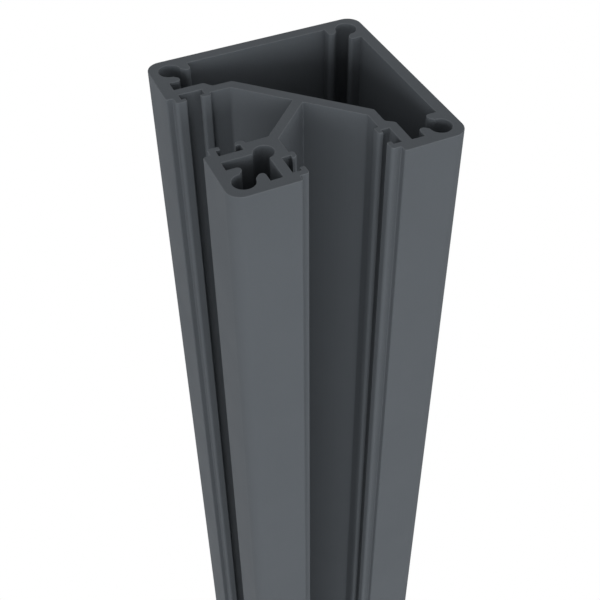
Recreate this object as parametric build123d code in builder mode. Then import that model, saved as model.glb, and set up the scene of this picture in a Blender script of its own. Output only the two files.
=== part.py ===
from build123d import *
import os

# Corner fence post: one extruded aluminium profile, sawn square, on a welded base plate.
# Lengths are in millimetres. The origin is on the ground under the middle of the post, and +Z is up.
# The panel slots open towards -X and -Y, and the section is the same on both sides of the plane x = y.

# Post
post_width = 70.0
post_height = 1000.0
corner_radius = 4.5
outer_wall = 3.8
box_wall = 3.5
inner_wall = 3.0

# Panel slot in each of the two front faces. Its centre lies a little off the middle, towards the front corner
slot_offset = 0.2
slot_clear = 24.0
shoulder_step = 2.1
shoulder_height = 2.9
side_wall_setback = 1.5

# Gasket grooves in the slot's lips, measured from the face that the slot opens in
groove_start = 4.1
groove_width = 7.0
groove_depth = 2.5
mouth_overhang = 1.3
lip_thickness = 1.5
hook_wall = 1.6
hook_flat = 0.2

# Main chamber: how far past the middle its diagonal wall crosses the plane x = y, how thick that wall is,
# and the step over a groove
diagonal_offset = 1.0
diagonal_wall = 3.3
step_margin = 1.75
step_run = 1.8

# Screw port in each corner, with two lips that stand in from the walls and narrow its mouth
port_radius = 3.3
port_skin = 2.7
port_catch = 1.0
port_lip_rise = 1.35
port_lip_wall = 3.0
port_lip_flat = 0.15

# Round relief in the inner corner of the front box
relief_radius = 2.9
relief_inset = 0.3

# Edge radii of the section
nose_radius = 1.0
step_radius = 1.2
lip_radius = 0.5
root_radius = 0.4

# Base plate and its anchor holes
plate_reach = 40.0
plate_thickness = 8.0
plate_corner = 10.0
plate_edge = 0.8
anchor_edge = 20.0
anchor_hole = 12.0

# Fillet welds at the foot of the profile
weld_leg = 5.0
weld_crown = 0.5
weld_end_gap = 1.0

# Levels across a slot: the lip beside the front box, and the lip beside the outer corner
half = post_width / 2
slot_centre = half - slot_offset
near_lip = slot_centre - slot_clear / 2
far_lip = slot_centre + slot_clear / 2
near_shoulder = near_lip - shoulder_height
far_shoulder = far_lip + shoulder_height
near_groove = near_lip - lip_thickness
far_groove = far_lip + lip_thickness
near_floor = near_groove - groove_depth
far_floor = far_groove + groove_depth

# Levels along a slot, from the face that it opens in
groove_end = groove_start + groove_width
mouth_start = groove_start + mouth_overhang
mouth_end = groove_end - mouth_overhang
slot_throat = groove_end + hook_wall

# Walls that follow from them
box_inside = near_floor - inner_wall
relief_centre = box_inside - relief_inset
box_outside = relief_centre + relief_radius + inner_wall
hook_radius = near_lip - box_outside - hook_flat
side_wall_face = far_lip + side_wall_setback
side_wall_top = side_wall_face + inner_wall
groove_wall_top = far_floor + inner_wall
chamber_far = post_width - outer_wall
step_start = groove_end + step_margin
step_end = step_start + step_run

# On the chamber's side the diagonal wall is the line u + v = diagonal_sum, and on the slots' side slot_sum
diagonal_sum = 2 * (half + diagonal_offset)
slot_sum = diagonal_sum - diagonal_wall * 2**0.5
web_shift = inner_wall / 2**0.5

# A screw port, from the corner of the post: its centre, and the top and the end of its lips.
# A lip's top runs from the mouth to the lip's end, and its two rounded corners leave the flat between them
port_inset = port_skin + port_radius
port_mouth = 2 * (port_radius - port_catch)
port_lip_top = port_inset + port_lip_rise
port_lip_start = port_lip_top + port_mouth / 2**0.5
port_lip_end = port_inset + port_radius + port_lip_wall
port_lip_radius = (port_lip_end - port_lip_start - port_lip_flat) / 2**0.5

# The base plate reaches past the post on every side, and its holes keep their distance from its edges
plate_size = post_width + 2 * plate_reach
anchor_spacing = plate_size - 2 * anchor_edge

# The section is drawn on the top of the base plate, in u and v from the front corner of the post
section_plane = Plane((-half, -half, plate_thickness))
mirror_plane = Plane(origin=(0, 0, 0), x_dir=(1, 1, 0), z_dir=(1, -1, 0))
cut_start = -1.0


def span(u_low, u_high, v_low, v_high):
    """A rectangle between two limits each way."""
    with Locations(((u_low + u_high) / 2, (v_low + v_high) / 2)):
        Rectangle(u_high - u_low, v_high - v_low)


def corners_at(sketch, *points):
    """The sketch's vertices at these points and at their mirror images."""
    both = [*points, *((v, u) for u, v in points)]
    return [sketch.vertices().sort_by_distance(point)[0] for point in both]


# Void of the slot in the left face
with BuildSketch() as slot:
    span(cut_start, shoulder_step, near_shoulder, far_shoulder)
    span(cut_start, slot_throat, near_lip, far_lip)
    # pocket between the front box, the web, the diagonal wall and the side wall
    with BuildLine():
        Polyline(
            (slot_throat, box_outside),
            (box_outside - web_shift, box_outside),
            ((slot_sum - web_shift) / 2, (slot_sum + web_shift) / 2),
            (slot_sum - side_wall_face, side_wall_face),
            (slot_throat, side_wall_face),
            close=True,
        )
    make_face()
    # a T-shaped groove in each lip
    for lip, undercut, floor in (
        (near_lip, near_groove, near_floor),
        (far_lip, far_groove, far_floor),
    ):
        span(mouth_start, mouth_end, min(lip, floor), max(lip, floor))
        span(groove_start, groove_end, min(undercut, floor), max(undercut, floor))

# The two lips of a screw port in the corner at (0, 0), with their mouth towards the inside
with BuildSketch() as port_lips:
    span(0, port_lip_end, 0, port_lip_top)
    span(0, port_lip_top, 0, port_lip_end)
    with Locations(Location((port_inset, port_inset), 45)):
        Rectangle(post_width, port_mouth, align=(Align.MIN, Align.CENTER), mode=Mode.SUBTRACT)
    lip_outer_tip = (port_lip_end, port_lip_top)
    lip_mouth_tip = (port_lip_start, port_lip_top)
    fillet(corners_at(port_lips, lip_outer_tip, lip_mouth_tip), port_lip_radius)

# Void of the main chamber, behind the diagonal wall, with its three screw ports
side_wall = [
    (outer_wall, groove_wall_top),
    (step_start, groove_wall_top),
    (step_end, side_wall_top),
    (diagonal_sum - side_wall_top, side_wall_top),
]
front_wall = [(v, u) for u, v in reversed(side_wall)]
chamber_corners = [
    Location((post_width, 0), 90),
    Location((post_width, post_width), 180),
    Location((0, post_width), 270),
]
with BuildSketch() as chamber:
    with BuildLine():
        Polyline(
            *side_wall,
            *front_wall,
            (chamber_far, outer_wall),
            (chamber_far, chamber_far),
            (outer_wall, chamber_far),
            close=True,
        )
    make_face()
    fillet(corners_at(chamber, *side_wall[1:]), step_radius)
    fillet(corners_at(chamber, side_wall[0]), root_radius)
    with Locations(*chamber_corners):
        add(port_lips.sketch, mode=Mode.SUBTRACT)
        with Locations((port_inset, port_inset)):
            Circle(port_radius)

# Void of the front box, with the relief in its inner corner and its screw port
with BuildSketch() as box_void:
    span(box_wall, box_inside, box_wall, box_inside)
    with Locations((relief_centre, relief_centre)):
        Circle(relief_radius)
    relief_edge = relief_centre - (relief_radius**2 - relief_inset**2) ** 0.5
    fillet(corners_at(box_void, (relief_edge, box_inside), (box_wall, box_inside)), root_radius)
    add(port_lips.sketch, mode=Mode.SUBTRACT)
    with Locations((port_inset, port_inset)):
        Circle(port_radius)

# The extruded profile
with BuildPart() as post_profile:
    with BuildSketch(section_plane) as section:
        with Locations((half, half)):
            RectangleRounded(post_width, post_width, corner_radius)
        add(slot.sketch, mode=Mode.SUBTRACT)
        mirror(slot.sketch, about=mirror_plane, mode=Mode.SUBTRACT)
        # noses of the lips, beside the shoulders, and the hooks beyond the groove mouths
        noses = [(shoulder_step, near_lip), (shoulder_step, far_lip)]
        hooks = [(mouth_end, near_lip), (mouth_end, far_lip)]
        fillet(corners_at(section, *noses, *hooks), nose_radius)
        fillet(corners_at(section, (slot_throat, near_lip)), hook_radius)
        # ends of the outer faces, tips of the lips and the back of the far hook
        face_ends = [(0, near_shoulder), (0, far_shoulder)]
        lip_tips = [(mouth_start, near_lip), (mouth_start, far_lip), (slot_throat, far_lip)]
        fillet(corners_at(section, *face_ends, *lip_tips), lip_radius)
        # inner corners of the shoulders and the pocket
        roots = [
            (shoulder_step, near_shoulder),
            (shoulder_step, far_shoulder),
            (slot_throat, side_wall_face),
            (box_outside - web_shift, box_outside),
            ((slot_sum - web_shift) / 2, (slot_sum + web_shift) / 2),
        ]
        fillet(corners_at(section, *roots), root_radius)
        fillet(corners_at(section, (slot_sum - side_wall_face, side_wall_face)), step_radius)
        add(chamber.sketch, mode=Mode.SUBTRACT)
        add(box_void.sketch, mode=Mode.SUBTRACT)
    extrude(amount=post_height - plate_thickness)
post_profile.part.label = "post_profile"

# The base plate
with BuildPart() as base_plate:
    with BuildSketch():
        RectangleRounded(plate_size, plate_size, plate_corner)
    extrude(amount=plate_thickness)
    chamfer(base_plate.faces().sort_by(Axis.Z)[-1].edges(), plate_edge)
    with Locations(base_plate.faces().sort_by(Axis.Z)[-1]):
        with GridLocations(anchor_spacing, anchor_spacing, 2, 2):
            Hole(anchor_hole / 2)
base_plate.part.label = "base_plate"

# The section of a fillet weld, with its root at the foot of a wall: one leg goes out and one goes up
with BuildSketch() as bead:
    with BuildLine():
        Polyline((weld_leg, 0), (0, 0), (0, weld_leg))
        SagittaArc((0, weld_leg), (weld_leg, 0), weld_crown)
    make_face()

# The weld round the two closed sides, from one panel slot's outer corner to the other's
outer_weld_end = far_shoulder + weld_end_gap
with BuildPart() as outer_weld:
    with BuildLine(section_plane):
        outer_seam = FilletPolyline(
            (0, outer_weld_end),
            (0, post_width),
            (post_width, post_width),
            (post_width, 0),
            (outer_weld_end, 0),
            radius=corner_radius,
        )
    with BuildSketch(Plane(origin=outer_seam @ 0, x_dir=(-1, 0, 0), z_dir=outer_seam % 0)):
        add(bead.sketch)
    sweep()
outer_weld.part.label = "outer_weld"

# The weld round the front box
box_weld_end = near_shoulder - weld_end_gap
with BuildPart() as box_weld:
    with BuildLine(section_plane):
        box_seam = FilletPolyline((box_weld_end, 0), (0, 0), (0, box_weld_end), radius=corner_radius)
    with BuildSketch(Plane(origin=box_seam @ 0, x_dir=(0, -1, 0), z_dir=box_seam % 0)):
        add(bead.sketch)
    sweep()
box_weld.part.label = "box_weld"

os.makedirs("parts", exist_ok=True)
export_step(post_profile.part, "parts/post_profile.step")
export_step(base_plate.part, "parts/base_plate.step")
export_step(outer_weld.part, "parts/outer_weld.step")
export_step(box_weld.part, "parts/box_weld.step")
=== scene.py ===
import math

import bmesh
import bpy
from mathutils import Matrix, Vector


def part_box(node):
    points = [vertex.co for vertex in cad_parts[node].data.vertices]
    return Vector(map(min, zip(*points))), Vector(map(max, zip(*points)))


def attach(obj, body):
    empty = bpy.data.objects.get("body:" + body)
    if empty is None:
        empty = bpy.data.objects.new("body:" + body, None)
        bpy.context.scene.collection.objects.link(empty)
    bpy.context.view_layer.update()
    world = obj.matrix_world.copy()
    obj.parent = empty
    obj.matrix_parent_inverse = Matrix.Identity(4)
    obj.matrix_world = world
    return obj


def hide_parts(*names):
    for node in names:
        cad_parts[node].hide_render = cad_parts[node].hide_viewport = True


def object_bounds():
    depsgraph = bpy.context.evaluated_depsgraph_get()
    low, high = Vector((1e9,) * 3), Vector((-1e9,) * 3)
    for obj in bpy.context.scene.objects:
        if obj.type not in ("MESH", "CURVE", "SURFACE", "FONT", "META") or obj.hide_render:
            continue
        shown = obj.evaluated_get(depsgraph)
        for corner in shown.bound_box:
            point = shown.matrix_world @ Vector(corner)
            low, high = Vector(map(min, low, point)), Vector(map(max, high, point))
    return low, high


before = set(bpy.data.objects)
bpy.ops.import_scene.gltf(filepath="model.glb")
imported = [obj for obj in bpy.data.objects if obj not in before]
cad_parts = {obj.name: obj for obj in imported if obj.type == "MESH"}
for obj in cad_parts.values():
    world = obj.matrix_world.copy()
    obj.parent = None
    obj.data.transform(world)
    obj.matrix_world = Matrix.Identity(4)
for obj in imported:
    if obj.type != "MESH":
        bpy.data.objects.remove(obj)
cad_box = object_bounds()

bl_info = {
    "name": "Corner Fence Post",
    "version": (1, 0, 0),
    "blender": (4, 5, 0),
    "location": "View3D > Sidebar > Fence Post",
    "description": "The coat and the welds of a slotted corner post, and the studio it stands in",
    "category": "Object",
}

# The post stands upright with its two slots towards -X and -Y. Everything is in metres
MILLIMETRE = 0.001
UP = Vector((0.0, 0.0, 1.0))
BODY = "root"
MERGE_DISTANCE = 1e-6

# Opposite corners of the profile, the top of the plate and the legs of the welds
POST_LOW, POST_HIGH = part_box("post_profile")
PLATE_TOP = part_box("base_plate")[1].z
WELD_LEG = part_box("box_weld")[1].z - PLATE_TOP

# Marks on the faces of a mesh, which its material reads. The first marks the broken edges, whose lighter
# colour is partly the thinner coat there and partly a painted highlight where light catches them
EDGE_COAT_AND_HIGHLIGHT = "thin_coat"
SAWN_END = "sawn_end"

# Angles between two faces: facets of one flat face, the plate's edges, the sawn end's edges, and the
# least angle that is shaded as a sharp edge
FLAT_ANGLE = math.radians(0.2)
CREASE_ANGLE = math.radians(30)
RIM_ANGLE = math.radians(60)
SHARP_ANGLE = math.radians(40)

# A face is level, as the sawn end is, where its normal rises by more than this
LEVEL_RISE = 0.99

# Most values of a noise texture lie between these two
NOISE_LOW, NOISE_HIGH = 0.3, 0.7

# How little the die's lines change along the post, against across it
DIE_LINE_CHANGE = 0.004

# How far aside the centre of the saw's marks lies, as a share of their radius
SAW_CENTRE_ASIDE = 0.35

# The coat's grain is coarser on the plate, and the coat is smoother on the welds
PLATE_GRAIN_SCALE = 1.2
WELD_ROUGHNESS_SHIFT = -0.08

# Facets of a weld round a corner, points across its face, and how often its ripples change their pace
CORNER_FACETS = 12
FACE_POINTS = 15
RIPPLE_WANDER = 0.31

# The floor's reach, how far it lies under the plate, the distances between which its shadow fades to
# plain white, and a glow that lights nothing
FLOOR_REACH = 4.0
FLOOR_DROP = 0.1 * MILLIMETRE
FADE_START, FADE_END = 0.16, 0.36
FLOOR_GLOW = 0.35

# Each lamp's name, the setting that holds its power, its azimuth in degrees and its width
LAMPS = (
    ("left_lamp", "left_power", -50.0, 3.2),
    ("front_lamp", "front_power", 0.0, 2.0),
    ("right_lamp", "right_power", 45.0, 3.2),
    ("back_lamp", "back_power", 160.0, 3.2),
)


class CoatSettings(bpy.types.PropertyGroup):
    """The powder coat that all the pieces share."""

    colour: bpy.props.FloatVectorProperty(
        name="Colour",
        description="Colour of the coat where it lies flat",
        subtype="COLOR",
        default=(0.093, 0.104, 0.116),
        min=0.0,
        max=1.0,
    )
    # The edge colour is lighter than the coat: it stands for the thinner coat on a sharp edge and also for
    # a painted highlight where light catches that edge
    edge_colour_with_highlight: bpy.props.FloatVectorProperty(
        name="Edge Colour",
        description="Colour of the coat where it thins over a sharp edge",
        subtype="COLOR",
        default=(0.122, 0.134, 0.147),
        min=0.0,
        max=1.0,
    )
    # The share of that lighter edge colour, thin coat and painted highlight together
    edge_coat_highlight_share: bpy.props.FloatProperty(
        name="Edge Share",
        description="How much of the edge colour shows on a sharp edge",
        default=0.75,
        min=0.0,
        max=1.0,
    )
    roughness: bpy.props.FloatProperty(
        name="Roughness",
        description="Roughness of the coat between its grains",
        default=0.8,
        min=0.0,
        max=1.0,
    )
    roughness_drift: bpy.props.FloatProperty(
        name="Roughness Drift",
        description="How far the roughness drifts either way",
        default=0.04,
        min=0.0,
        max=1.0,
    )
    specular: bpy.props.FloatProperty(
        name="Specular",
        description="Specular level of the coat, where 0.5 is a clear lacquer's",
        default=0.2,
        min=0.0,
        max=1.0,
    )
    grain_size: bpy.props.FloatProperty(
        name="Grain Size",
        description="Distance between the grains of the coat",
        default=0.45 * MILLIMETRE,
        min=0.0,
        precision=5,
        unit="LENGTH",
    )
    grain_height: bpy.props.FloatProperty(
        name="Grain Height",
        description="Height of the grains of the coat",
        default=0.02 * MILLIMETRE,
        min=0.0,
        precision=6,
        unit="LENGTH",
    )
    drift_size: bpy.props.FloatProperty(
        name="Drift Size",
        description="Distance over which the tone of the coat drifts",
        default=60 * MILLIMETRE,
        min=0.0,
        unit="LENGTH",
    )
    tone_drift: bpy.props.FloatProperty(
        name="Tone Drift",
        description="Share by which the tone of the coat drifts",
        default=0.05,
        min=0.0,
        max=1.0,
    )


class EdgeSettings(bpy.types.PropertyGroup):
    """How the cut edges of the profile and the plate are broken."""

    sawn_edge: bpy.props.FloatProperty(
        name="Sawn Edge",
        description="Width of the broken edge round the sawn end",
        default=0.22 * MILLIMETRE,
        min=0.0,
        precision=5,
        unit="LENGTH",
    )
    plate_edge: bpy.props.FloatProperty(
        name="Plate Edge",
        description="Width of the rounded edges of the plate and its holes",
        default=0.3 * MILLIMETRE,
        min=0.0,
        precision=5,
        unit="LENGTH",
    )
    segments: bpy.props.IntProperty(
        name="Segments",
        description="Facets across a broken edge",
        default=2,
        min=1,
        max=6,
    )
    saw_radius: bpy.props.FloatProperty(
        name="Saw Radius",
        description="Distance from the sawn end to the centre of the saw's marks",
        default=190 * MILLIMETRE,
        min=0.0,
        unit="LENGTH",
    )
    saw_pitch: bpy.props.FloatProperty(
        name="Saw Pitch",
        description="Distance between the saw's marks",
        default=1.1 * MILLIMETRE,
        min=0.0,
        precision=5,
        unit="LENGTH",
    )
    die_pitch: bpy.props.FloatProperty(
        name="Die Line Pitch",
        description="Distance between the faint lines that the die left along the profile",
        default=1.6 * MILLIMETRE,
        min=0.0,
        precision=5,
        unit="LENGTH",
    )
    mark_height: bpy.props.FloatProperty(
        name="Mark Height",
        description="Height of the die's lines and of the saw's marks",
        default=0.05 * MILLIMETRE,
        min=0.0,
        precision=6,
        unit="LENGTH",
    )


class WeldSettings(bpy.types.PropertyGroup):
    """The fillet welds at the foot of the profile."""

    corner_radius: bpy.props.FloatProperty(
        name="Corner Radius",
        description="Radius of the profile's outer corners, which the seam follows",
        default=4.5 * MILLIMETRE,
        min=0.0,
        precision=5,
        unit="LENGTH",
    )
    crown: bpy.props.FloatProperty(
        name="Crown",
        description="Height of the weld's face over a flat one",
        default=0.5 * MILLIMETRE,
        min=0.0,
        precision=5,
        unit="LENGTH",
    )
    ripple_pitch: bpy.props.FloatProperty(
        name="Ripple Pitch",
        description="Distance between ripples along the seam",
        default=2.3 * MILLIMETRE,
        min=0.0,
        precision=5,
        unit="LENGTH",
    )
    ripple_height: bpy.props.FloatProperty(
        name="Ripple Height",
        description="Depth of the valleys between ripples",
        default=0.38 * MILLIMETRE,
        min=0.0,
        precision=5,
        unit="LENGTH",
    )
    ripple_bow: bpy.props.FloatProperty(
        name="Ripple Bow",
        description="How far a ripple bends back at its ends, in ripples",
        default=0.85,
        min=0.0,
    )
    end_taper: bpy.props.FloatProperty(
        name="End Taper",
        description="Length over which the weld's ends round off",
        default=2.5 * MILLIMETRE,
        min=0.0,
        precision=5,
        unit="LENGTH",
    )
    step: bpy.props.FloatProperty(
        name="Step",
        description="Distance between cross-sections along the seam",
        default=0.2 * MILLIMETRE,
        min=0.0,
        precision=5,
        unit="LENGTH",
    )
    seed: bpy.props.FloatProperty(
        name="Seed",
        description="Picks the unevenness of the ripples",
        default=7.0,
    )


class StudioSettings(bpy.types.PropertyGroup):
    """The camera, the floor and the light."""

    lens: bpy.props.FloatProperty(
        name="Lens",
        description="Focal length of the camera on a 36 mm sensor, in millimetres",
        default=59.10,
        min=1.0,
    )
    camera_place: bpy.props.FloatVectorProperty(
        name="Camera Place",
        description="Where the camera stands",
        subtype="XYZ",
        unit="LENGTH",
        default=(-0.09747, -0.21552, 1.15543),
    )
    camera_turn: bpy.props.FloatVectorProperty(
        name="Camera Turn",
        description="Elevation above the horizon, roll and azimuth of the camera",
        subtype="EULER",
        unit="ROTATION",
        default=(math.radians(42.135), math.radians(-0.104), math.radians(-25.004)),
    )
    camera_shift: bpy.props.FloatVectorProperty(
        name="Camera Shift",
        description="How far the picture is off the middle of the view, as the photograph is cut",
        size=2,
        default=(-0.0167, -0.0833),
    )
    left_power: bpy.props.FloatProperty(
        name="Left Power",
        description="Power of the lamp in front of the left panel slot, in watts",
        default=27.5,
        min=0.0,
    )
    front_power: bpy.props.FloatProperty(
        name="Front Power",
        description="Power of the lamp in front of the right panel slot, in watts",
        default=9.0,
        min=0.0,
    )
    right_power: bpy.props.FloatProperty(
        name="Right Power",
        description="Power of the lamp to the right of the camera, in watts",
        default=17.0,
        min=0.0,
    )
    back_power: bpy.props.FloatProperty(
        name="Back Power",
        description="Power of the lamp behind the two closed faces, in watts",
        default=10.0,
        min=0.0,
    )
    lamp_distance: bpy.props.FloatProperty(
        name="Lamp Distance",
        description="Distance from each lamp to the top of the post",
        default=2.5,
        min=0.0,
        unit="LENGTH",
    )
    lamp_elevation: bpy.props.FloatProperty(
        name="Lamp Elevation",
        description="Height of each lamp above the horizon, seen from the top of the post",
        default=math.radians(8.0),
        unit="ROTATION",
    )
    lamp_height: bpy.props.FloatProperty(
        name="Lamp Height",
        description="Height of each lamp's face",
        default=0.9,
        min=0.0,
        unit="LENGTH",
    )
    room_light: bpy.props.FloatProperty(
        name="Room Light",
        description="Strength of the even light from all round the room",
        default=0.44,
        min=0.0,
    )
    floor_colour: bpy.props.FloatVectorProperty(
        name="Floor Colour",
        description="Colour of the floor near the post",
        subtype="COLOR",
        default=(0.82, 0.82, 0.82),
        min=0.0,
        max=1.0,
    )


SETTINGS = {
    "post_coat": CoatSettings,
    "post_edges": EdgeSettings,
    "post_welds": WeldSettings,
    "post_studio": StudioSettings,
}


# Helpers for node trees


def add_node(tree, kind, **settings):
    """A new node with its own properties set."""
    node = tree.nodes.new(kind)
    for name, value in settings.items():
        setattr(node, name, value)
    return node


def feed(tree, socket, value):
    """Links a socket to another one, or sets it to a constant."""
    if isinstance(value, bpy.types.NodeSocket):
        tree.links.new(value, socket)
    else:
        socket.default_value = value


def compute(tree, operation, *values):
    """The result of a Math node."""
    node = add_node(tree, "ShaderNodeMath", operation=operation)
    for socket, value in zip(node.inputs, values):
        feed(tree, socket, value)
    return node.outputs["Value"]


def compute_vector(tree, operation, *values):
    """The result of a Vector Math node that gives a vector."""
    node = add_node(tree, "ShaderNodeVectorMath", operation=operation)
    for socket, value in zip(node.inputs, values):
        feed(tree, socket, value)
    return node.outputs["Vector"]


def scale_vector(tree, vector, factor):
    """A vector times a number."""
    node = add_node(tree, "ShaderNodeVectorMath", operation="SCALE")
    feed(tree, node.inputs["Vector"], vector)
    feed(tree, node.inputs["Scale"], factor)
    return node.outputs["Vector"]


def in_steps(tree, vector, step):
    """A vector counted in steps of a length."""
    return scale_vector(tree, vector, compute(tree, "DIVIDE", 1.0, step))


def split_vector(tree, vector):
    """The X, Y and Z of a vector."""
    node = add_node(tree, "ShaderNodeSeparateXYZ")
    feed(tree, node.inputs["Vector"], vector)
    return node.outputs


def map_range(tree, value, low, high, to_low, to_high, smooth=False):
    """A value moved from one range to another, and held inside it."""
    node = add_node(tree, "ShaderNodeMapRange", interpolation_type="SMOOTHSTEP" if smooth else "LINEAR")
    for socket, number in zip(node.inputs, (value, low, high, to_low, to_high)):
        feed(tree, socket, number)
    return node.outputs["Result"]


def mix_colours(tree, share, first, second):
    """A colour between two others."""
    node = add_node(tree, "ShaderNodeMix", data_type="RGBA")
    feed(tree, node.inputs["Factor"], share)
    colours = [socket for socket in node.inputs if socket.type == "RGBA"]
    feed(tree, colours[0], first)
    feed(tree, colours[1], second)
    return next(socket for socket in node.outputs if socket.type == "RGBA")


def new_group(name, kind, inputs, outputs):
    """An empty node group with its sockets, and its input and output nodes."""
    group = bpy.data.node_groups.new(name, kind)
    for label, socket_type in inputs:
        group.interface.new_socket(label, in_out="INPUT", socket_type=socket_type)
    for label, socket_type in outputs:
        group.interface.new_socket(label, in_out="OUTPUT", socket_type=socket_type)
    return group, group.nodes.new("NodeGroupInput").outputs, group.nodes.new("NodeGroupOutput").inputs


# The coat


def build_grain_group():
    """The fine grain of a powder coat, and the slow drift of its tone."""
    group, given, result = new_group(
        "powder_coat_grain",
        "ShaderNodeTree",
        [
            ("Position", "NodeSocketVector"),
            ("Grain Size", "NodeSocketFloat"),
            ("Drift Size", "NodeSocketFloat"),
        ],
        [
            ("Height", "NodeSocketFloat"),
            ("Tone", "NodeSocketFloat"),
            ("Sheen Patch", "NodeSocketFloat"),
        ],
    )
    grain_position = in_steps(group, given["Position"], given["Grain Size"])
    drift_position = in_steps(group, given["Position"], given["Drift Size"])

    grains = add_node(group, "ShaderNodeTexVoronoi", feature="SMOOTH_F1")
    grains.inputs["Scale"].default_value = 1.0
    grains.inputs["Smoothness"].default_value = 0.7
    feed(group, grains.inputs["Vector"], grain_position)
    speckle = add_node(group, "ShaderNodeTexNoise")
    speckle.inputs["Scale"].default_value = 1.7
    speckle.inputs["Detail"].default_value = 3.0
    feed(group, speckle.inputs["Vector"], grain_position)
    drift = add_node(group, "ShaderNodeTexNoise")
    drift.inputs["Scale"].default_value = 1.0
    drift.inputs["Detail"].default_value = 2.0
    feed(group, drift.inputs["Vector"], drift_position)
    patches = add_node(group, "ShaderNodeTexNoise")
    patches.inputs["Scale"].default_value = 3.3
    patches.inputs["Detail"].default_value = 2.0
    feed(group, patches.inputs["Vector"], drift_position)

    hills = compute(group, "SUBTRACT", 1.0, grains.outputs["Distance"])
    feed(group, result["Height"], compute(group, "ADD", hills, speckle.outputs["Fac"]))
    fine_tone = compute(group, "MULTIPLY", speckle.outputs["Fac"], 0.5)
    slow_tone = compute(group, "MULTIPLY", drift.outputs["Fac"], 0.5)
    feed(group, result["Tone"], compute(group, "ADD", fine_tone, slow_tone))
    feed(group, result["Sheen Patch"], patches.outputs["Fac"])
    return group


def build_die_line_group():
    """Faint lines along the profile, as the extrusion die leaves them on every side face."""
    group, given, result = new_group(
        "die_lines",
        "ShaderNodeTree",
        [("Position", "NodeSocketVector"), ("Pitch", "NodeSocketFloat")],
        [("Height", "NodeSocketFloat")],
    )
    across = compute_vector(group, "MULTIPLY", given["Position"], (1.0, 1.0, DIE_LINE_CHANGE))
    lines = add_node(group, "ShaderNodeTexNoise")
    lines.inputs["Scale"].default_value = 1.0
    lines.inputs["Detail"].default_value = 4.0
    lines.inputs["Roughness"].default_value = 0.7
    feed(group, lines.inputs["Vector"], in_steps(group, across, given["Pitch"]))
    feed(group, result["Height"], lines.outputs["Fac"])
    return group


def build_saw_mark_group():
    """Faint arcs across the sawn end, round a centre beside the post."""
    group, given, result = new_group(
        "saw_marks",
        "ShaderNodeTree",
        [
            ("Position", "NodeSocketVector"),
            ("Radius", "NodeSocketFloat"),
            ("Pitch", "NodeSocketFloat"),
        ],
        [("Height", "NodeSocketFloat")],
    )
    centre = add_node(group, "ShaderNodeCombineXYZ")
    feed(group, centre.inputs["X"], given["Radius"])
    feed(group, centre.inputs["Y"], compute(group, "MULTIPLY", given["Radius"], SAW_CENTRE_ASIDE))
    flat = compute_vector(group, "MULTIPLY", given["Position"], (1.0, 1.0, 0.0))
    reach = add_node(group, "ShaderNodeVectorMath", operation="DISTANCE")
    feed(group, reach.inputs[0], flat)
    feed(group, reach.inputs[1], centre.outputs["Vector"])
    turns = compute(group, "DIVIDE", reach.outputs["Value"], given["Pitch"])
    marks = add_node(group, "ShaderNodeTexNoise", noise_dimensions="1D")
    marks.inputs["Scale"].default_value = 1.0
    marks.inputs["Detail"].default_value = 3.0
    feed(group, marks.inputs["W"], turns)
    feed(group, result["Height"], marks.outputs["Fac"])
    return group


def shader_groups():
    """The shared node groups by name, built once."""
    makers = {
        "powder_coat_grain": build_grain_group,
        "die_lines": build_die_line_group,
        "saw_marks": build_saw_mark_group,
    }
    return {name: bpy.data.node_groups.get(name) or make() for name, make in makers.items()}


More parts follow.
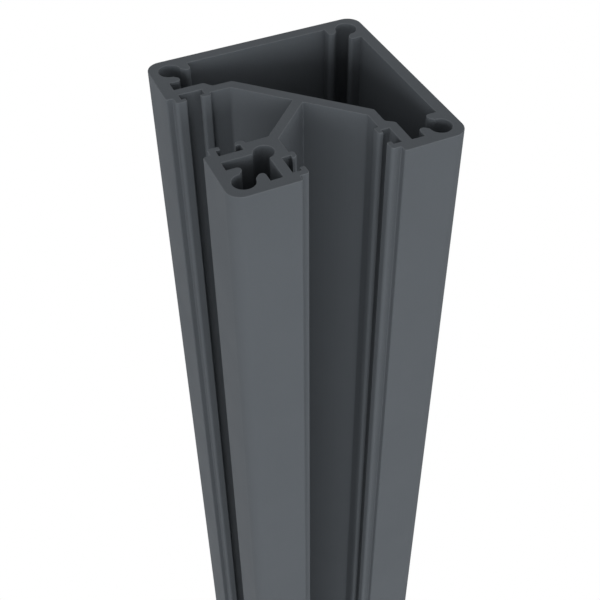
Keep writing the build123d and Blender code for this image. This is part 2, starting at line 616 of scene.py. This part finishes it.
def coat_material(name, coat, edges=None, grain_scale=1.0, roughness_shift=0.0):
    """A powder coat. With edges given, it also shows the profile's die lines and saw marks."""
    groups = shader_groups()
    material = bpy.data.materials.new(name)
    material.use_nodes = True
    tree = material.node_tree
    shader = tree.nodes["Principled BSDF"]
    shader.inputs["Specular IOR Level"].default_value = coat.specular
    position = add_node(tree, "ShaderNodeTexCoord").outputs["Object"]

    grain = add_node(tree, "ShaderNodeGroup", node_tree=groups["powder_coat_grain"])
    feed(tree, grain.inputs["Position"], position)
    grain.inputs["Grain Size"].default_value = coat.grain_size * grain_scale
    grain.inputs["Drift Size"].default_value = coat.drift_size

    base = Vector(coat.colour)
    darker = (*(base * (1 - coat.tone_drift)), 1.0)
    lighter = (*(base * (1 + coat.tone_drift)), 1.0)
    tone = map_range(tree, grain.outputs["Tone"], NOISE_LOW, NOISE_HIGH, 0.0, 1.0)
    flat_colour = mix_colours(tree, tone, darker, lighter)
    # Broken edges take a lighter colour: the thinner coat there, and a painted highlight where light
    # catches them
    edge_coat_highlight = add_node(tree, "ShaderNodeAttribute", attribute_name=EDGE_COAT_AND_HIGHLIGHT)
    edge_coat_highlight_share = compute(tree, "MULTIPLY", edge_coat_highlight.outputs["Fac"], coat.edge_coat_highlight_share)
    colour = mix_colours(tree, edge_coat_highlight_share, flat_colour, (*coat.edge_colour_with_highlight, 1.0))
    feed(tree, shader.inputs["Base Color"], colour)

    rough = coat.roughness + roughness_shift
    lowest, highest = rough - coat.roughness_drift, rough + coat.roughness_drift
    patches = map_range(tree, grain.outputs["Sheen Patch"], NOISE_LOW, NOISE_HIGH, lowest, highest)
    feed(tree, shader.inputs["Roughness"], patches)

    bump = add_node(tree, "ShaderNodeBump")
    bump.inputs["Distance"].default_value = coat.grain_height * grain_scale
    feed(tree, bump.inputs["Height"], grain.outputs["Height"])
    if edges:
        sawn = add_node(tree, "ShaderNodeAttribute", attribute_name=SAWN_END).outputs["Fac"]
        marks = add_node(tree, "ShaderNodeGroup", node_tree=groups["saw_marks"])
        feed(tree, marks.inputs["Position"], position)
        marks.inputs["Radius"].default_value = edges.saw_radius
        marks.inputs["Pitch"].default_value = edges.saw_pitch
        lines = add_node(tree, "ShaderNodeGroup", node_tree=groups["die_lines"])
        feed(tree, lines.inputs["Position"], position)
        lines.inputs["Pitch"].default_value = edges.die_pitch
        on_end = compute(tree, "MULTIPLY", marks.outputs["Height"], sawn)
        on_sides = compute(tree, "MULTIPLY", lines.outputs["Height"], compute(tree, "SUBTRACT", 1.0, sawn))
        under = add_node(tree, "ShaderNodeBump")
        under.inputs["Distance"].default_value = edges.mark_height
        feed(tree, under.inputs["Height"], compute(tree, "ADD", on_end, on_sides))
        feed(tree, bump.inputs["Normal"], under.outputs["Normal"])
    feed(tree, shader.inputs["Normal"], bump.outputs["Normal"])
    return material


# Meshes


def merged_copy(node):
    """A CAD node's mesh with its corners joined and its flat faces whole, as a new bmesh."""
    mesh = bmesh.new()
    for layer in (EDGE_COAT_AND_HIGHLIGHT, SAWN_END):
        mesh.faces.layers.float.new(layer)
    mesh.from_mesh(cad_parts[node].data)
    bmesh.ops.remove_doubles(mesh, verts=mesh.verts, dist=MERGE_DISTANCE)
    bmesh.ops.dissolve_limit(mesh, angle_limit=FLAT_ANGLE, verts=mesh.verts, edges=mesh.edges)
    mesh.normal_update()
    return mesh


def break_edges(mesh, edges, width, segments):
    """Rounds the edges, and marks the new facets as carrying a thin coat, which the material shows in a
    lighter colour that is also a painted highlight.
    """
    made = bmesh.ops.bevel(
        mesh,
        geom=edges,
        offset=width,
        offset_type="OFFSET",
        segments=segments,
        profile=0.5,
        affect="EDGES",
        clamp_overlap=False,
    )
    # These facets get the lighter edge colour, thin coat and painted highlight in one
    edge_coat_highlight = mesh.faces.layers.float[EDGE_COAT_AND_HIGHLIGHT]
    for face in made["faces"]:
        face[edge_coat_highlight] = 1.0


def shade_by_angle(mesh, angle):
    """Smooth faces with a sharp edge wherever two of them meet at more than the angle."""
    for face in mesh.faces:
        face.smooth = True
    for edge in mesh.edges:
        edge.smooth = edge.calc_face_angle(0.0) < angle


def finished_piece(name, mesh, material, node):
    """The object that stands for a CAD node, with its flat faces kept flat by weighted normals."""
    data = bpy.data.meshes.new(name)
    mesh.to_mesh(data)
    mesh.free()
    data.materials.append(material)
    draft = bpy.data.objects.new(name + "_draft", data)
    bpy.context.scene.collection.objects.link(draft)
    weighted = draft.modifiers.new("flat faces", "WEIGHTED_NORMAL")
    weighted.keep_sharp = True
    piece = plain_object(name, draft)
    return hand_over(piece, node)


def plain_object(name, draft):
    """A plain mesh object made from what a draft's modifiers give. The draft is removed."""
    bpy.context.view_layer.update()
    evaluated = draft.evaluated_get(bpy.context.evaluated_depsgraph_get())
    data = bpy.data.meshes.new_from_object(evaluated)
    data.name = name
    piece = bpy.data.objects.new(name, data)
    bpy.context.scene.collection.objects.link(piece)
    bpy.data.objects.remove(draft)
    return piece


def hand_over(piece, node):
    """The piece rides on the post and takes the CAD node's place."""
    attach(piece, BODY)
    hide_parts(node)
    return piece


# The welds


def middle_share(tree, place, leg_square):
    """1 in the middle of a fillet's face and 0 at its toes, from a place in its section."""
    product = compute(tree, "MULTIPLY", place["X"], place["Y"])
    return compute(tree, "MULTIPLY", compute(tree, "DIVIDE", product, leg_square), 4.0)


def build_weld_group():
    """Sweeps a fillet weld along a seam and ripples its face, with round ends."""
    group, given, result = new_group(
        "rippled_weld",
        "GeometryNodeTree",
        [
            ("Seam", "NodeSocketGeometry"),
            ("Leg", "NodeSocketFloat"),
            ("Crown", "NodeSocketFloat"),
            ("Corner Radius", "NodeSocketFloat"),
            ("Ripple Pitch", "NodeSocketFloat"),
            ("Ripple Height", "NodeSocketFloat"),
            ("Ripple Bow", "NodeSocketFloat"),
            ("End Taper", "NodeSocketFloat"),
            ("Step", "NodeSocketFloat"),
            ("Seed", "NodeSocketFloat"),
            ("Material", "NodeSocketMaterial"),
        ],
        [("Weld", "NodeSocketGeometry")],
    )

    # The seam, with rounded corners, and how far along it each cross-section lies
    rounded = add_node(group, "GeometryNodeFilletCurve", mode="POLY")
    feed(group, rounded.inputs["Curve"], given["Seam"])
    rounded.inputs["Count"].default_value = CORNER_FACETS
    feed(group, rounded.inputs["Radius"], given["Corner Radius"])
    stepped = add_node(group, "GeometryNodeResampleCurve", mode="LENGTH")
    feed(group, stepped.inputs["Curve"], rounded.outputs["Curve"])
    feed(group, stepped.inputs["Length"], given["Step"])
    upright = add_node(group, "GeometryNodeSetCurveNormal", mode="Z_UP")
    feed(group, upright.inputs["Curve"], stepped.outputs["Curve"])
    along = add_node(group, "GeometryNodeSplineParameter").outputs["Length"]
    whole = add_node(group, "GeometryNodeSplineLength").outputs["Length"]
    seam = add_node(group, "GeometryNodeCaptureAttribute", domain="POINT")
    seam.capture_items.new("FLOAT", "Along")
    seam.capture_items.new("VECTOR", "Outward")
    seam.capture_items.new("FLOAT", "Size")
    feed(group, seam.inputs["Geometry"], upright.outputs["Curve"])
    feed(group, seam.inputs["Along"], along)
    tangent = add_node(group, "GeometryNodeInputTangent").outputs["Tangent"]
    feed(group, seam.inputs["Outward"], compute_vector(group, "CROSS_PRODUCT", tuple(UP), tangent))
    to_end = compute(group, "MINIMUM", along, compute(group, "SUBTRACT", whole, along))
    share = compute(group, "MINIMUM", compute(group, "DIVIDE", to_end, given["End Taper"]), 1.0)
    roundness = compute(group, "MULTIPLY", share, compute(group, "SUBTRACT", 2.0, share))
    feed(group, seam.inputs["Size"], compute(group, "SQRT", roundness))

    # The cross-section: a quarter disc drawn in to a flat fillet with a low crown
    disc = add_node(group, "GeometryNodeCurveArc", mode="RADIUS")
    disc.inputs["Resolution"].default_value = FACE_POINTS
    disc.inputs["Start Angle"].default_value = 0.0
    disc.inputs["Sweep Angle"].default_value = math.pi / 2
    disc.inputs["Connect Center"].default_value = True
    feed(group, disc.inputs["Radius"], given["Leg"])
    place = add_node(group, "GeometryNodeInputPosition").outputs["Position"]
    parts = split_vector(group, place)
    both = compute(group, "ADD", parts["X"], parts["Y"])
    chord = scale_vector(group, place, compute(group, "DIVIDE", given["Leg"], both))
    leg_square = compute(group, "MULTIPLY", given["Leg"], given["Leg"])
    on_chord = middle_share(group, split_vector(group, chord), leg_square)
    lift = compute(group, "MULTIPLY", on_chord, given["Crown"])
    outward_up = (2**-0.5, 2**-0.5, 0.0)
    crowned = compute_vector(group, "ADD", chord, scale_vector(group, outward_up, lift))
    fillet = add_node(group, "GeometryNodeSetPosition")
    feed(group, fillet.inputs["Geometry"], disc.outputs["Curve"])
    feed(group, fillet.inputs["Position"], crowned)
    section = add_node(group, "GeometryNodeCaptureAttribute", domain="POINT")
    section.capture_items.new("FLOAT", "Middle")
    section.capture_items.new("FLOAT", "Across")
    feed(group, section.inputs["Geometry"], fillet.outputs["Geometry"])
    feed(group, section.inputs["Middle"], middle_share(group, parts, leg_square))
    tilt = compute(group, "SUBTRACT", parts["X"], parts["Y"])
    feed(group, section.inputs["Across"], compute(group, "DIVIDE", tilt, given["Leg"]))

    # A section is swept with its X towards the post and its Y down, so it takes half a turn first
    turned = add_node(group, "GeometryNodeTransform")
    feed(group, turned.inputs["Geometry"], section.outputs["Geometry"])
    turned.inputs["Rotation"].default_value = (0.0, 0.0, math.pi)

    swept = add_node(group, "GeometryNodeCurveToMesh")
    feed(group, swept.inputs["Curve"], seam.outputs["Geometry"])
    feed(group, swept.inputs["Profile Curve"], turned.outputs["Geometry"])
    feed(group, swept.inputs["Scale"], seam.outputs["Size"])
    swept.inputs["Fill Caps"].default_value = True

    # The ripples: rows of low crescents, a little uneven, with a sharp valley between them
    wander = add_node(group, "ShaderNodeTexNoise", noise_dimensions="1D")
    wander.inputs["Scale"].default_value = RIPPLE_WANDER
    wander.inputs["Detail"].default_value = 1.0
    ripples = compute(group, "DIVIDE", seam.outputs["Along"], given["Ripple Pitch"])
    feed(group, wander.inputs["W"], compute(group, "ADD", ripples, given["Seed"]))
    across_square = compute(group, "POWER", section.outputs["Across"], 2.0)
    bow = compute(group, "MULTIPLY", across_square, given["Ripple Bow"])
    phase = compute(group, "SUBTRACT", compute(group, "ADD", ripples, wander.outputs["Fac"]), bow)
    crest = compute(group, "ABSOLUTE", compute(group, "SINE", compute(group, "MULTIPLY", phase, math.pi)))
    dip = compute(group, "MULTIPLY", compute(group, "SUBTRACT", crest, 1.0), given["Ripple Height"])
    on_face = compute(group, "SQRT", compute(group, "MAXIMUM", section.outputs["Middle"], 0.0))
    depth = compute(group, "MULTIPLY", compute(group, "MULTIPLY", dip, on_face), seam.outputs["Size"])
    slant = compute_vector(group, "ADD", seam.outputs["Outward"], tuple(UP))
    normal = compute_vector(group, "NORMALIZE", slant)
    rippled = add_node(group, "GeometryNodeSetPosition")
    feed(group, rippled.inputs["Geometry"], swept.outputs["Mesh"])
    feed(group, rippled.inputs["Offset"], scale_vector(group, normal, depth))

    closed = add_node(group, "GeometryNodeMergeByDistance")
    feed(group, closed.inputs["Geometry"], rippled.outputs["Geometry"])
    closed.inputs["Distance"].default_value = MERGE_DISTANCE
    smooth = add_node(group, "GeometryNodeSetShadeSmooth")
    feed(group, smooth.inputs["Geometry"], closed.outputs["Geometry"])
    real = add_node(group, "GeometryNodeRealizeInstances")
    feed(group, real.inputs["Geometry"], smooth.outputs["Geometry"])
    coated = add_node(group, "GeometryNodeSetMaterial")
    feed(group, coated.inputs["Geometry"], real.outputs["Geometry"])
    feed(group, coated.inputs["Material"], given["Material"])
    feed(group, result["Weld"], coated.outputs["Geometry"])
    return group


def seam_draft(name, points):
    """A curve object through the corners of a seam, on top of the plate."""
    curve = bpy.data.curves.new(name, "CURVE")
    curve.dimensions = "3D"
    spline = curve.splines.new("POLY")
    spline.points.add(len(points) - 1)
    for point, (x, y) in zip(spline.points, points):
        point.co = (x, y, PLATE_TOP, 1.0)
    draft = bpy.data.objects.new(name, curve)
    bpy.context.scene.collection.objects.link(draft)
    return draft


def build_weld(name, node, points, group, settings, material):
    """One rippled weld along a seam, in the place of its CAD node."""
    draft = seam_draft(name + "_seam", points)
    modifier = draft.modifiers.new("weld", "NODES")
    modifier.node_group = group
    values = {
        "Leg": WELD_LEG,
        "Crown": settings.crown,
        "Corner Radius": settings.corner_radius,
        "Ripple Pitch": settings.ripple_pitch,
        "Ripple Height": settings.ripple_height,
        "Ripple Bow": settings.ripple_bow,
        "End Taper": settings.end_taper,
        "Step": settings.step,
        "Seed": settings.seed,
        "Material": material,
    }
    for socket in group.interface.items_tree:
        if socket.name in values:
            modifier[socket.identifier] = values[socket.name]
    piece = plain_object(name, draft)
    return hand_over(piece, node)


# The operators, one for each piece or group of like pieces, and one for the stage


class FENCE_POST_OT_profile(bpy.types.Operator):
    """Make the coated profile with its broken sawn edges"""

    bl_idname = "fence_post.profile"
    bl_label = "Profile"

    def execute(self, context):
        edges = context.scene.post_edges
        mesh = merged_copy("post_profile")
        top = POST_HIGH.z - MERGE_DISTANCE
        rim = [
            edge
            for edge in mesh.edges
            if edge.calc_face_angle(0.0) > RIM_ANGLE and all(vert.co.z > top for vert in edge.verts)
        ]
        if not rim:
            raise RuntimeError("the profile has no sawn edges to break")
        break_edges(mesh, rim, edges.sawn_edge, edges.segments)
        mesh.normal_update()
        sawn = mesh.faces.layers.float[SAWN_END]
        for face in mesh.faces:
            face[sawn] = float(face.normal.z > LEVEL_RISE)
        shade_by_angle(mesh, SHARP_ANGLE)
        material = coat_material("profile_coat_finish", context.scene.post_coat, edges)
        finished_piece("profile_body", mesh, material, "post_profile")
        return {"FINISHED"}


class FENCE_POST_OT_plate(bpy.types.Operator):
    """Make the coated base plate with its rounded edges"""

    bl_idname = "fence_post.plate"
    bl_label = "Base Plate"

    def execute(self, context):
        edges = context.scene.post_edges
        mesh = merged_copy("base_plate")
        creases = [edge for edge in mesh.edges if edge.calc_face_angle(0.0) > CREASE_ANGLE]
        if not creases:
            raise RuntimeError("the plate has no edges to round")
        break_edges(mesh, creases, edges.plate_edge, edges.segments)
        mesh.normal_update()
        shade_by_angle(mesh, SHARP_ANGLE)
        coat = context.scene.post_coat
        material = coat_material("plate_coat_finish", coat, grain_scale=PLATE_GRAIN_SCALE)
        finished_piece("plate_body", mesh, material, "base_plate")
        return {"FINISHED"}


class FENCE_POST_OT_welds(bpy.types.Operator):
    """Make the two rippled welds at the foot"""

    bl_idname = "fence_post.welds"
    bl_label = "Welds"

    def execute(self, context):
        settings = context.scene.post_welds
        coat = context.scene.post_coat
        material = coat_material("weld_coat_finish", coat, roughness_shift=WELD_ROUGHNESS_SHIFT)
        group = build_weld_group()
        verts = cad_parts["outer_weld"].data.vertices
        beside_post = [vert.co.y for vert in verts if vert.co.x < POST_LOW.x]
        outer_end = min(y for y in beside_post if y > 0)
        box_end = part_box("box_weld")[1].x
        outer_seam = [
            (POST_LOW.x, outer_end),
            (POST_LOW.x, POST_HIGH.y),
            (POST_HIGH.x, POST_HIGH.y),
            (POST_HIGH.x, POST_LOW.y),
            (outer_end, POST_LOW.y),
        ]
        box_seam = [(box_end, POST_LOW.y), (POST_LOW.x, POST_LOW.y), (POST_LOW.x, box_end)]
        build_weld("outer_weld_bead", "outer_weld", outer_seam, group, settings, material)
        build_weld("box_weld_bead", "box_weld", box_seam, group, settings, material)
        return {"FINISHED"}


# The stage


def build_floor(colour):
    """A pale floor that keeps the post's shadow near its foot and is plain white further out."""
    mesh = bmesh.new()
    bmesh.ops.create_grid(mesh, x_segments=1, y_segments=1, size=FLOOR_REACH)
    data = bpy.data.meshes.new("floor")
    bmesh.ops.translate(mesh, verts=mesh.verts, vec=(0.0, 0.0, cad_box[0][2] - FLOOR_DROP))
    mesh.to_mesh(data)
    mesh.free()
    floor = bpy.data.objects.new("floor", data)
    bpy.context.scene.collection.objects.link(floor)

    material = bpy.data.materials.new("floor_finish")
    material.use_nodes = True
    tree = material.node_tree
    tree.nodes.clear()
    position = add_node(tree, "ShaderNodeTexCoord").outputs["Object"]
    reach = add_node(tree, "ShaderNodeVectorMath", operation="LENGTH")
    feed(tree, reach.inputs[0], position)
    far = map_range(tree, reach.outputs["Value"], FADE_START, FADE_END, 0.0, 1.0, smooth=True)
    seen = seen_directly(tree)
    plain = add_node(tree, "ShaderNodeBsdfDiffuse")
    plain.inputs["Color"].default_value = (*colour, 1.0)
    white = add_node(tree, "ShaderNodeEmission")
    white.inputs["Strength"].default_value = 1.0
    glow = add_node(tree, "ShaderNodeEmission")
    feed(tree, glow.inputs["Strength"], compute(tree, "MULTIPLY", seen, FLOOR_GLOW))
    near = add_node(tree, "ShaderNodeAddShader")
    feed(tree, near.inputs[0], plain.outputs["BSDF"])
    feed(tree, near.inputs[1], glow.outputs["Emission"])
    both = add_node(tree, "ShaderNodeMixShader")
    feed(tree, both.inputs["Fac"], compute(tree, "MULTIPLY", far, seen))
    feed(tree, both.inputs[1], near.outputs["Shader"])
    feed(tree, both.inputs[2], white.outputs["Emission"])
    output = add_node(tree, "ShaderNodeOutputMaterial")
    feed(tree, output.inputs["Surface"], both.outputs["Shader"])
    data.materials.append(material)


def seen_directly(tree):
    """1 for what the camera sees, straight or in a reflection or through glass, and 0 for light."""
    rays = add_node(tree, "ShaderNodeLightPath").outputs
    mirrored = compute(tree, "MAXIMUM", rays["Is Glossy Ray"], rays["Is Transmission Ray"])
    return compute(tree, "MAXIMUM", rays["Is Camera Ray"], mirrored)


def build_room_light(strength):
    """A white room to look at, and a softer even light in it."""
    world = bpy.data.worlds.new("studio_room")
    bpy.context.scene.world = world
    world.use_nodes = True
    tree = world.node_tree
    tree.nodes.clear()
    light = add_node(tree, "ShaderNodeBackground")
    light.inputs["Strength"].default_value = strength
    white = add_node(tree, "ShaderNodeBackground")
    white.inputs["Strength"].default_value = 1.0
    for background in (light, white):
        background.inputs["Color"].default_value = (1.0, 1.0, 1.0, 1.0)
    both = add_node(tree, "ShaderNodeMixShader")
    feed(tree, both.inputs["Fac"], seen_directly(tree))
    feed(tree, both.inputs[1], light.outputs["Background"])
    feed(tree, both.inputs[2], white.outputs["Background"])
    output = add_node(tree, "ShaderNodeOutputWorld")
    feed(tree, output.inputs["Surface"], both.outputs["Shader"])


def build_lamp(name, power, azimuth, width, studio):
    """A large soft lamp that faces the top of the post. Azimuth 0 is the front, and -90 the left."""
    data = bpy.data.lights.new(name, "AREA")
    data.shape = "RECTANGLE"
    data.size = width
    data.size_y = studio.lamp_height
    data.energy = power
    lamp = bpy.data.objects.new(name, data)
    bpy.context.scene.collection.objects.link(lamp)
    turn = math.radians(azimuth)
    rise = studio.lamp_elevation
    away = Vector((math.sin(turn) * math.cos(rise), -math.cos(turn) * math.cos(rise), math.sin(rise)))
    lamp.rotation_euler = away.to_track_quat("Z", "Y").to_euler()
    lamp.location = Vector((0.0, 0.0, POST_HIGH.z)) + away * studio.lamp_distance


def build_camera(studio):
    """The camera, looking down on the sawn end from the front left."""
    data = bpy.data.cameras.new("camera")
    data.lens = studio.lens
    data.sensor_width = 36.0
    data.sensor_fit = "HORIZONTAL"
    data.clip_start = 0.01
    data.shift_x, data.shift_y = studio.camera_shift
    camera = bpy.data.objects.new("camera", data)
    elevation, roll, azimuth = studio.camera_turn
    camera.matrix_world = (
        Matrix.Translation(studio.camera_place)
        @ Matrix.Rotation(azimuth, 4, "Z")
        @ Matrix.Rotation(math.pi / 2 - elevation, 4, "X")
        @ Matrix.Rotation(roll, 4, "Z")
    )
    bpy.context.scene.collection.objects.link(camera)
    bpy.context.scene.camera = camera


class FENCE_POST_OT_stage(bpy.types.Operator):
    """Make the camera, the floor and the light"""

    bl_idname = "fence_post.stage"
    bl_label = "Stage"

    def execute(self, context):
        studio = context.scene.post_studio
        build_camera(studio)
        build_floor(studio.floor_colour)
        build_room_light(studio.room_light)
        for name, power, azimuth, width in LAMPS:
            build_lamp(name, getattr(studio, power), azimuth, width, studio)
        context.scene.view_settings.view_transform = "Standard"
        return {"FINISHED"}


class FENCE_POST_PT_sidebar(bpy.types.Panel):
    """The post's sizes and colours, and the buttons that make its pieces"""

    bl_idname = "FENCE_POST_PT_sidebar"
    bl_label = "Fence Post"
    bl_space_type = "VIEW_3D"
    bl_region_type = "UI"
    bl_category = "Fence Post"

    def draw(self, context):
        for name, settings in SETTINGS.items():
            column = self.layout.box().column(align=True)
            for setting in settings.__annotations__:
                column.prop(getattr(context.scene, name), setting)
        for operator in OPERATORS:
            self.layout.operator(operator.bl_idname)


OPERATORS = (FENCE_POST_OT_stage, FENCE_POST_OT_profile, FENCE_POST_OT_plate, FENCE_POST_OT_welds)


def register():
    for settings in SETTINGS.values():
        bpy.utils.register_class(settings)
    for operator in OPERATORS:
        bpy.utils.register_class(operator)
    bpy.utils.register_class(FENCE_POST_PT_sidebar)
    for name, settings in SETTINGS.items():
        setattr(bpy.types.Scene, name, bpy.props.PointerProperty(type=settings))


def unregister():
    for name in SETTINGS:
        delattr(bpy.types.Scene, name)
    bpy.utils.unregister_class(FENCE_POST_PT_sidebar)
    for operator in reversed(OPERATORS):
        bpy.utils.unregister_class(operator)
    for settings in reversed(list(SETTINGS.values())):
        bpy.utils.unregister_class(settings)


def main():
    register()
    bpy.ops.fence_post.stage()
    bpy.ops.fence_post.profile()
    bpy.ops.fence_post.plate()
    bpy.ops.fence_post.welds()


if __name__ == "__main__":
    main()
